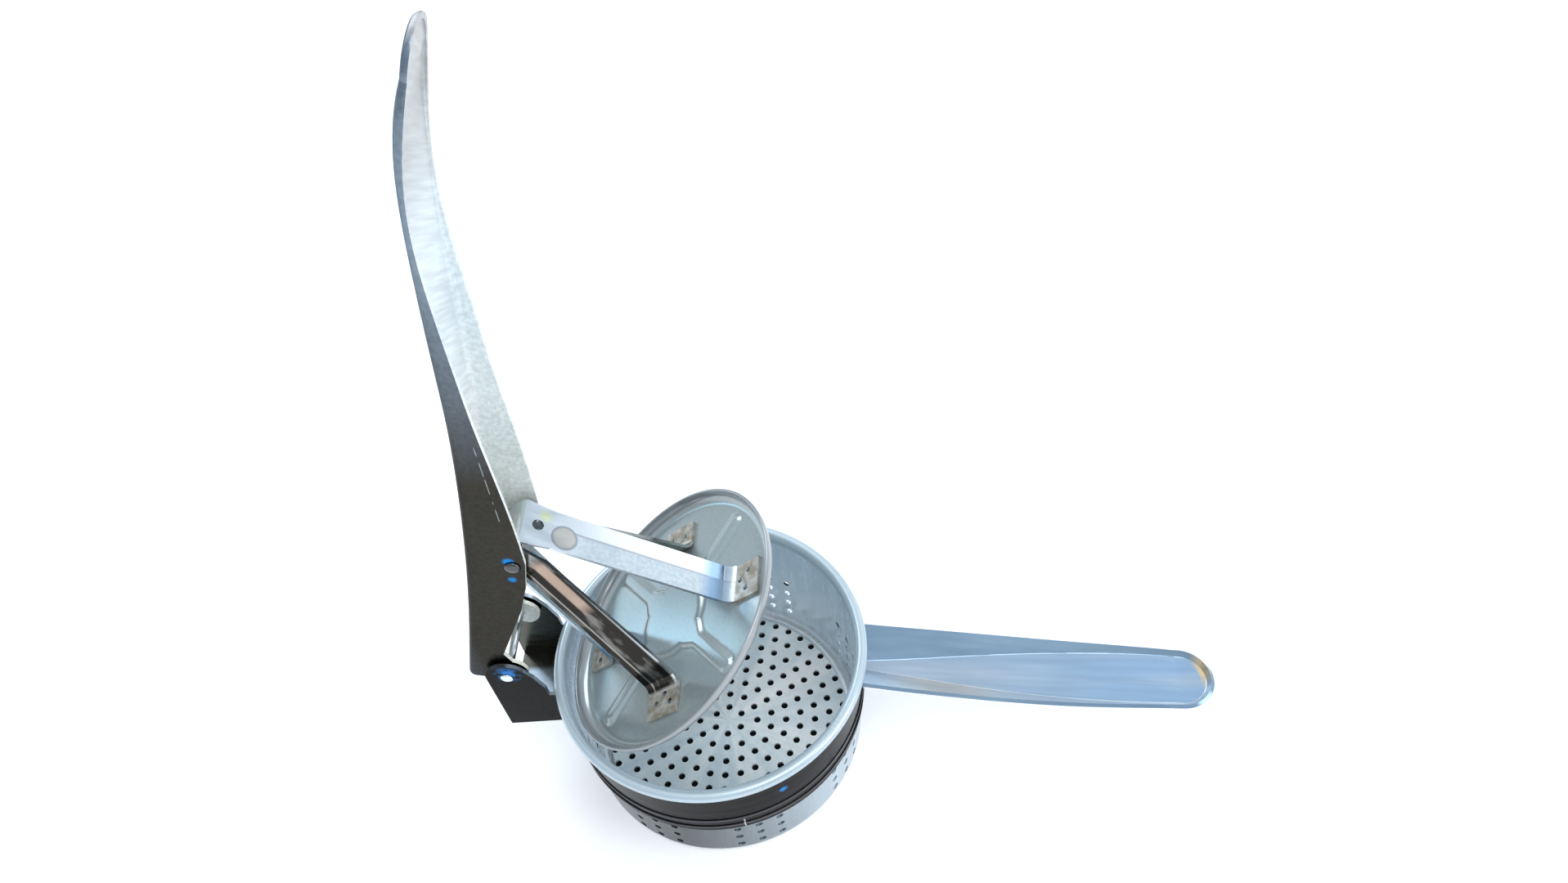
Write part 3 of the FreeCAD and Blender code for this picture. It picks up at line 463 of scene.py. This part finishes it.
def long_strap_steel():
    """Bright strap: a crease along it painted as a shaded line, painted lighter and polished beyond the
    crease and at the top, matte before it, with a painted blue reflection at the bend and painted shade
    on faces that turn down.
    """
    steel = strap_tones("long_strap_sheet", (5, 5, 0.6))
    tree = steel.tree
    top = rise(tree, steel.up, 43, 49)
    beyond = rise(tree, steel.side, 0.6, 1.0)
    mottle = spread(tree, steel.speckle, 0.4, 0.6)
    matte = mix_colour(tree, mottle, (0.46, 0.54, 0.58), (0.56, 0.62, 0.66))
    # Painted highlight: beyond the crease and at the top the strap is painted lighter; it is also
    # smoother there
    bright = sums(tree, "MAXIMUM", top, beyond)
    colour = mix_colour(tree, bright, matte, (0.60, 0.65, 0.68))
    # Painted shade along the crease
    crease = product(tree, between(tree, steel.side, 0.5, 0.8, 0.35), fall(tree, steel.up, 47, 50))
    colour = mix_colour(tree, crease, colour, (0.40, 0.43, 0.47))
    # Painted blue reflection at the bend
    bend = between(tree, steel.up, 5, 7.5, 3.5)
    colour = mix_colour(tree, bend, colour, (0.28, 0.42, 0.58))
    mark = distance_to(tree, steel.own, STRAP_SPOT)
    ring = between(tree, mark, 3.3, 3.7, 0.3)
    colour = mix_colour(tree, fall(tree, mark, 3.4, 3.8), colour, (0.48, 0.47, 0.44))
    colour = mix_colour(tree, ring, colour, (0.32, 0.35, 0.37))
    tint = distance_to(tree, steel.own, STRAP_TINT)
    colour = mix_colour(tree, spread(tree, tint, 0.6 * MM, 2.4 * MM, 0.7, 0), colour, (0.72, 0.78, 0.36))
    # Painted shade on faces that turn down
    back = product(tree, spread(tree, steel.facing[2], -0.2, 0.0, 1, 0), rise(tree, steel.up, 2, 6))
    colour = mix_colour(tree, back, colour, (0.22, 0.23, 0.25))
    colour, metal = add_feet(steel, colour)
    roughness = mix_value(tree, bright, 0.34, 0.16)
    return finish_steel(steel, colour, roughness, metal, contrast=0.05, bump=0.05)


def cross_strap_steel():
    """Legs painted with a dark mirror reflection on their low outer faces and light grey elsewhere, a
    painted tan reflection streak, a fine light line and a light front edge.
    """
    steel = strap_tones("cross_strap_sheet", (5, 5, 0.5))
    tree = steel.tree
    # Painted light: the low outer faces carry a painted dark mirror reflection with a painted tan
    # reflection streak, and the other faces a light grey
    outer = spread(tree, product(tree, sums(tree, "SIGN", steel.side), steel.facing[1]), 0.15, 0.45)
    low = fall(tree, steel.up, 52, 58)
    fine = spread(tree, steel.lines, 0.52, 0.66)
    dark = mix_colour(tree, fine, (0.030, 0.027, 0.024), (0.16, 0.155, 0.145))
    streak = product(tree, between(tree, steel.ahead, 0.2, 3.2, 0.7),
                     between(tree, steel.up, 35, 50, 4))
    dark = mix_colour(tree, streak, dark, (0.40, 0.30, 0.24))
    dark = mix_colour(tree, between(tree, steel.ahead, -3.4, -3.1, 0.25), dark, (0.30, 0.29, 0.27))
    dark = mix_colour(tree, rise(tree, steel.ahead, 4.7, 5.5), dark, (0.60, 0.62, 0.62))
    colour = mix_colour(tree, product(tree, outer, low), (0.50, 0.51, 0.50), dark)
    colour, metal = add_feet(steel, colour)
    return finish_steel(steel, colour, 0.14, metal, contrast=0.10, bump=0.04, tint=0.8)


def pin_steel(name, level, metal=1.0):
    """Plain steel of one brightness, slightly blue along its grain."""
    steel = start_steel(name, (1, 6, 1))
    tree = steel.tree
    bluish = (level * 0.88, level * 0.95, level)
    colour = mix_colour(tree, spread(tree, steel.lines, 0.35, 0.65), bluish, (level, level, level))
    return finish_steel(steel, colour, 0.16, metal, contrast=0.06, bump=0.05)


# Mesh helpers
SAME_CORNER = 0.000001


def mesh_piece(name, corners, faces, material, body):
    """A smooth piece from corners in metres that rides a body."""
    mesh = bpy.data.meshes.new(name)
    mesh.from_pydata([tuple(corner) for corner in corners], [], faces)
    mesh.materials.append(material)
    bm = bmesh.new()
    bm.from_mesh(mesh)
    bmesh.ops.remove_doubles(bm, verts=bm.verts, dist=SAME_CORNER)
    bmesh.ops.recalc_face_normals(bm, faces=bm.faces)
    bm.to_mesh(mesh)
    bm.free()
    for face in mesh.polygons:
        face.use_smooth = True
    piece = bpy.data.objects.new(name, mesh)
    bpy.context.scene.collection.objects.link(piece)
    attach(piece, body)
    return piece


def grid_faces(rows, columns):
    """Quads between rows of corners, each row a closed ring."""
    faces = []
    for row in range(rows - 1):
        for column in range(columns):
            after = (column + 1) % columns
            faces.append((row * columns + column, row * columns + after,
                          (row + 1) * columns + after, (row + 1) * columns + column))
    return faces


def closed_rings(rows, columns):
    """Quads between rings, and a cap on the first and the last ring."""
    last = (rows - 1) * columns
    return grid_faces(rows, columns) + [tuple(range(columns)), tuple(range(last, last + columns))]


def smooth_step(value, low, high):
    share = max(0.0, min(1.0, (value - low) / (high - low)))
    return share * share * (3 - 2 * share)


# Plunger dish: a plate with an upturned edge and a softly embossed cross
DISH_RADIUS = 42.3
DISH_SHEET = 0.9
DISH_LIP = 3.5
DISH_CORNER = 3.2
DISH_STEPS = 62
DISH_COLUMNS = 288
CORNER_STEPS = 8
FIRST_RING = 0.3
EMBOSS_LIMIT = 38.3
HUB_EDGE = (11.3, 13.6)
ARM_REACH = 34.3
ARM_HALF = 2.2
ARM_FLARE = 2.6
ARM_EDGE = 0.9
CROSS_HEIGHT = 0.75
DIMPLE = (26.2, -26.2)
DIMPLE_HEIGHT = 0.35


def emboss(across, ahead):
    """Height of the pressed cross and its dimple at a place on the plate, in millimetres."""
    height = 1 - smooth_step(math.hypot(across, ahead), *HUB_EDGE)
    for angle in (45, 135, 225, 315):
        turn = math.radians(angle)
        along = across * math.cos(turn) + ahead * math.sin(turn)
        side = abs(ahead * math.cos(turn) - across * math.sin(turn))
        past = max(0.0, along - ARM_REACH)
        if along > 0:
            half = ARM_HALF + ARM_FLARE * (1 - smooth_step(along, 11.0, 17.5))
            off = math.hypot(past, side)
            height = max(height, 1 - smooth_step(off, half - ARM_EDGE, half + ARM_EDGE))
    dimple = 1 - smooth_step(math.hypot(across - DIMPLE[0], ahead - DIMPLE[1]), 0.6, 1.7)
    return CROSS_HEIGHT * height + DIMPLE_HEIGHT * dimple


def dish_rows():
    """Radius and height pairs of the sheet, from its middle over the edge and back below."""
    flat = DISH_RADIUS - DISH_SHEET - DISH_CORNER
    rows = [(FIRST_RING + (flat - 0.5) * k / DISH_STEPS, 0.0) for k in range(DISH_STEPS + 1)]
    for k in range(1, CORNER_STEPS + 1):
        turn = math.radians(90 * k / CORNER_STEPS)
        rows.append((flat + DISH_CORNER * math.sin(turn), DISH_CORNER * (1 - math.cos(turn))))
    half = DISH_SHEET / 2
    for k in range(CORNER_STEPS + 1):
        turn = math.radians(180 * k / CORNER_STEPS)
        rows.append((DISH_RADIUS - half - half * math.cos(turn), DISH_LIP - 0.3 + 0.3 * math.sin(turn)))
    outer = DISH_CORNER + DISH_SHEET
    for k in range(CORNER_STEPS, -1, -1):
        turn = math.radians(90 * k / CORNER_STEPS)
        rows.append((flat + outer * math.sin(turn), DISH_CORNER - outer * math.cos(turn)))
    below = [(FIRST_RING + (flat - 0.6) * k / DISH_STEPS, -DISH_SHEET) for k in range(DISH_STEPS, -1, -1)]
    return rows + below


def make_dish(material):
    corners = []
    rows = dish_rows()
    for radius, height in rows:
        for column in range(DISH_COLUMNS):
            turn = math.tau * column / DISH_COLUMNS
            across = radius * math.cos(turn)
            ahead = radius * math.sin(turn)
            lift = emboss(across, ahead) if radius < EMBOSS_LIMIT else 0.0
            corners.append(on_plunger(across, ahead, height + lift))
    faces = closed_rings(len(rows), DISH_COLUMNS)
    dish = mesh_piece("dish_with_cross", corners, faces, material, "plunger")
    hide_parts("plunger_dish")


# Spot welds: three low domes on each strap foot
WELD_PLACES = ((32.4, 3.0), (29.2, 0.6), (31.6, -2.8))
CROSS_INSET = 3.4
WELD_FOOT = 1.02
WELD_COLUMNS = 16
WELD_PROFILE = ((0.95, -0.1), (0.95, 0.0), (0.80, 0.10), (0.45, 0.17), (0.05, 0.19))


def make_welds(material):
    """Domes on the four feet, whose places are given for a foot ahead and turned to each foot."""
    corners = []
    faces = []
    for quarter in range(4):
        turn = quarter * math.pi / 2
        for reach, side in WELD_PLACES:
            out = reach - (CROSS_INSET if quarter % 2 else 0)
            across = out * math.cos(turn) - side * math.sin(turn)
            ahead = out * math.sin(turn) + side * math.cos(turn)
            first = len(corners)
            for radius, height in WELD_PROFILE:
                for column in range(WELD_COLUMNS):
                    way = math.tau * column / WELD_COLUMNS
                    corners.append(on_plunger(across + radius * math.cos(way),
                                              ahead + radius * math.sin(way), WELD_FOOT + height))
            for face in closed_rings(len(WELD_PROFILE), WELD_COLUMNS):
                faces.append(tuple(first + corner for corner in face))
    welds = mesh_piece("foot_welds", corners, faces, material, "plunger")


# Rivets with low domed heads: the dome as shares of the head's width and thickness
RIVET_COLUMNS = 48
RIVET_DOME = ((0.30, 0.92), (0.42, 0.70), (0.48, 0.40), (0.5, 0.12))


def make_rivet(name, centre, shank, head, half_grip, thick, material, body, node):
    """A rivet along Y with a head of a given width and thickness beyond each half of its grip."""
    profile = [(0.02, half_grip + thick)]
    profile += [(across * head, half_grip + up * thick) for across, up in RIVET_DOME]
    profile += [(0.49 * head, half_grip), (0.5 * shank, half_grip)]
    rows = profile + [(radius, -place) for radius, place in profile[::-1]]
    corners = []
    for radius, place in rows:
        for column in range(RIVET_COLUMNS):
            turn = math.tau * column / RIVET_COLUMNS
            reach = Vector((radius * math.cos(turn), place, radius * math.sin(turn)))
            corners.append((centre + reach) * MM)
    rivet = mesh_piece(name, corners, closed_rings(len(rows), RIVET_COLUMNS), material, body)
    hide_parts(node)


# Rounded edge of the handle: a bead along both long edges and about the tip
HANDLE_START = 47.75
HANDLE_LENGTH = 100.8
BEAD = 0.72
BEAD_SINK = 0.6
BEAD_COLUMNS = 14
EDGE_STEPS = 12
TIP_STEPS = 32

# Share of the handle's length, depth below the cup's rim and half width
HANDLE_EDGE = (
    (0.0, 4.8, 11.3),
    (0.08, 6.5, 11.5),
    (0.22, 9.9, 11.8),
    (0.42, 14.4, 12.0),
    (0.70, 19.6, 11.7),
    (1.0, 23.9, 10.7),
)


def curve_through(points, steps):
    """Points on a smooth curve that passes through the given ones."""
    first = 2 * points[0] - points[1]
    last = 2 * points[-1] - points[-2]
    chain = [first, *points, last]
    path = []
    for k in range(1, len(chain) - 2):
        before, start, end, after = chain[k - 1:k + 3]
        for step in range(steps):
            share = step / steps
            path.append(0.5 * (2 * start + (end - before) * share
                               + (2 * before - 5 * start + 4 * end - after) * share ** 2
                               + (3 * start - before - 3 * end + after) * share ** 3))
    return path + [points[-1]]


def make_handle_edge(material):
    """A closed bead along the far edge, round the tip and back along the near edge."""
    edge = []
    for share, below, half in HANDLE_EDGE:
        height = RIM_HEIGHT - below - BEAD * BEAD_SINK
        edge.append(Vector((HANDLE_START + share * HANDLE_LENGTH, half - BEAD, height)))
    far_side = curve_through(edge, EDGE_STEPS)
    tip = far_side[-1]
    turns = [math.radians(90 - 180 * k / TIP_STEPS) for k in range(1, TIP_STEPS)]
    round_tip = [Vector((tip.x + tip.y * math.cos(turn), tip.y * math.sin(turn), tip.z))
                 for turn in turns]
    near_side = [Vector((spot.x, -spot.y, spot.z)) for spot in far_side[::-1]]
    path = far_side + round_tip + near_side
    corners = []
    for k, spot in enumerate(path):
        ahead = (path[min(k + 1, len(path) - 1)] - path[max(k - 1, 0)]).normalized()
        side = ahead.cross(Vector((0, 0, 1))).normalized()
        upper = side.cross(ahead)
        for column in range(BEAD_COLUMNS):
            turn = math.tau * column / BEAD_COLUMNS
            reach = side * (BEAD * math.cos(turn)) + upper * (BEAD * math.sin(turn))
            corners.append((spot + reach) * MM)
    faces = closed_rings(len(path), BEAD_COLUMNS)
    bead = mesh_piece("handle_edge", corners, faces, material, "cup_frame")


# Dress the solids and add the pieces
cup = cup_steel()
band = band_steel()
arms = handle_steel()
ears = bracket_steel()
lever = lever_steel()
plate = plate_steel()
long_strap = long_strap_steel()
cross_strap = cross_strap_steel()
bright_pin = pin_steel("pin_metal", 0.80)
dull_pin = pin_steel("rivet_metal", 0.10)
# The handle's edge bead is painted near white as a highlight
edge_steel = pin_steel("edge_metal", 0.96, 0.35)
weld_steel = pin_steel("weld_metal", 0.20)

for node, material in (("press_cup", cup), ("ring_band", band), ("lower_handle", arms),
                       ("hinge_bracket", ears), ("hinge_pin", bright_pin), ("hinge_washer", bright_pin),
                       ("press_lever", lever), ("pivot_pin", dull_pin), ("plunger_dish", plate),
                       ("cross_strap", cross_strap), ("long_strap", long_strap)):
    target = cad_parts[node]
    target.data.materials.clear()
    target.data.materials.append(material)

make_dish(plate)
make_welds(weld_steel)
make_rivet("hinge_rivet", HINGE, shank=2.6, head=4.0, half_grip=13.35, thick=0.6,
           material=bright_pin, body="cup_frame", node="hinge_pin")
make_rivet("pivot_rivet", PIVOT, shank=3.0, head=4.6, half_grip=11.05, thick=0.9,
           material=dull_pin, body="lever", node="pivot_pin")
make_handle_edge(edge_steel)


# Pale floor with painted shade where the cup hides it: half width and sink in metres, glow and colours
FLOOR_HALF = 6.0
FLOOR_SINK = 0.0002
FLOOR_GLOW = 0.22
FLOOR_PALE = (0.93, 0.93, 0.93)
FLOOR_SHADE = (0.01, 0.01, 0.01)


def make_floor():
    mesh = bpy.data.meshes.new("floor")
    far = FLOOR_HALF
    mesh.from_pydata([(-far, -far, 0), (far, -far, 0), (far, far, 0), (-far, far, 0)], [],
                     [(0, 1, 2, 3)])
    material = bpy.data.materials.new("floor_pale")
    material.use_nodes = True
    tree = material.node_tree
    shader = tree.nodes["Principled BSDF"]
    shader.inputs["Roughness"].default_value = 0.95
    shader.inputs["Specular IOR Level"].default_value = 0.0
    spot = add(tree, "TexCoord").outputs["Object"]
    # Painted shade under the cup, which also loses its glow there
    under = fall(tree, vector_sum(tree, "LENGTH", spot), 41.5, 42.5)
    tree.links.new(mix_colour(tree, under, FLOOR_PALE, FLOOR_SHADE), shader.inputs["Base Color"])
    rays = add(tree, "LightPath")
    mirrored = sums(tree, "MAXIMUM", rays.outputs["Is Glossy Ray"], rays.outputs["Is Transmission Ray"])
    seen = sums(tree, "MAXIMUM", rays.outputs["Is Camera Ray"], mirrored)
    glow = product(tree, seen, sums(tree, "SUBTRACT", 1.0, under), FLOOR_GLOW)
    shader.inputs["Emission Color"].default_value = (1, 1, 1, 1)
    tree.links.new(glow, shader.inputs["Emission Strength"])
    mesh.materials.append(material)
    floor = bpy.data.objects.new("floor", mesh)
    bpy.context.scene.collection.objects.link(floor)
    floor.location.z = -FLOOR_SINK


# Studio: a bluish room above that is greyer towards the horizon, as heights and colours
ROOM_STOPS = (
    (0.0, (0.58, 0.62, 0.66)),
    (0.25, (0.60, 0.66, 0.72)),
    (0.55, (0.68, 0.77, 0.88)),
    (0.8, (0.84, 0.93, 1.03)),
    (1.0, (1.0, 1.0, 1.0)),
)


def make_world():
    world = bpy.data.worlds.new("room")
    bpy.context.scene.world = world
    world.use_nodes = True
    tree = world.node_tree
    background = tree.nodes["Background"]
    direction = split(tree, add(tree, "TexCoord").outputs["Generated"])
    ramp = add(tree, "ValToRGB")
    tree.links.new(direction[2], ramp.inputs[0])
    elements = ramp.color_ramp.elements
    while len(elements) < len(ROOM_STOPS):
        elements.new(0.5)
    for element, (position, colour) in zip(elements, ROOM_STOPS):
        element.position = position
        element.color = (*colour, 1)
    tree.links.new(ramp.outputs[0], background.inputs["Color"])


def make_lamp(name, place, target, width, height, power, colour=(1, 1, 1)):
    """A soft panel in metres and watts that faces a target."""
    lamp = bpy.data.lights.new(name, "AREA")
    lamp.shape = "RECTANGLE"
    lamp.size = width
    lamp.size_y = height
    lamp.energy = power
    lamp.color = colour
    holder = bpy.data.objects.new(name, lamp)
    bpy.context.scene.collection.objects.link(holder)
    holder.location = place
    aim = Vector(target) - Vector(place)
    holder.rotation_euler = aim.to_track_quat("-Z", "Y").to_euler()
    holder.visible_camera = False


# Camera: focal length in millimetres, place in metres, and which way its right and its view point
CAMERA_LENS = 26.29
CAMERA_PLACE = (0.05576, -0.18072, 0.36397)
CAMERA_RIGHT = (0.99585, 0.02549, -0.08742)
CAMERA_AHEAD = (-0.08331, 0.64257, -0.76169)


def make_camera():
    """The photograph's viewpoint: from above, in front and slightly towards the handle."""
    camera = bpy.data.cameras.new("camera")
    camera.lens = CAMERA_LENS
    camera.sensor_width = 36
    camera.clip_start = 0.01
    holder = bpy.data.objects.new("camera", camera)
    bpy.context.scene.collection.objects.link(holder)
    right = Vector(CAMERA_RIGHT).normalized()
    ahead = Vector(CAMERA_AHEAD).normalized()
    up = right.cross(ahead)
    turn = Matrix((right, up, -ahead)).transposed()
    holder.matrix_world = Matrix.Translation(CAMERA_PLACE) @ turn.to_4x4()
    bpy.context.scene.camera = holder


make_floor()
make_world()
make_lamp("window", (-0.5, 0.9, 0.9), (0, 0, 0.08), width=0.7, height=0.5, power=5.0,
          colour=(0.86, 0.94, 1.0))
make_lamp("ceiling", (0.35, -0.35, 1.1), (0, 0, 0.05), width=0.6, height=0.6, power=3.0)
make_lamp("side_panel", (0.72, 0.62, 0.55), (0, 0, 0.08), width=0.5, height=0.3, power=0.6)
make_lamp("low_panel", (-0.787, 0.418, 0.108), (-0.01, -0.01, 0.075), width=0.08, height=0.11, power=0.11,
          colour=(0.45, 0.78, 1.0))
make_lamp("fill", (1.0, -0.25, 0.55), (-0.04, 0, 0.13), width=0.6, height=0.6, power=4.0)
make_camera()
bpy.context.scene.view_settings.view_transform = "Standard"
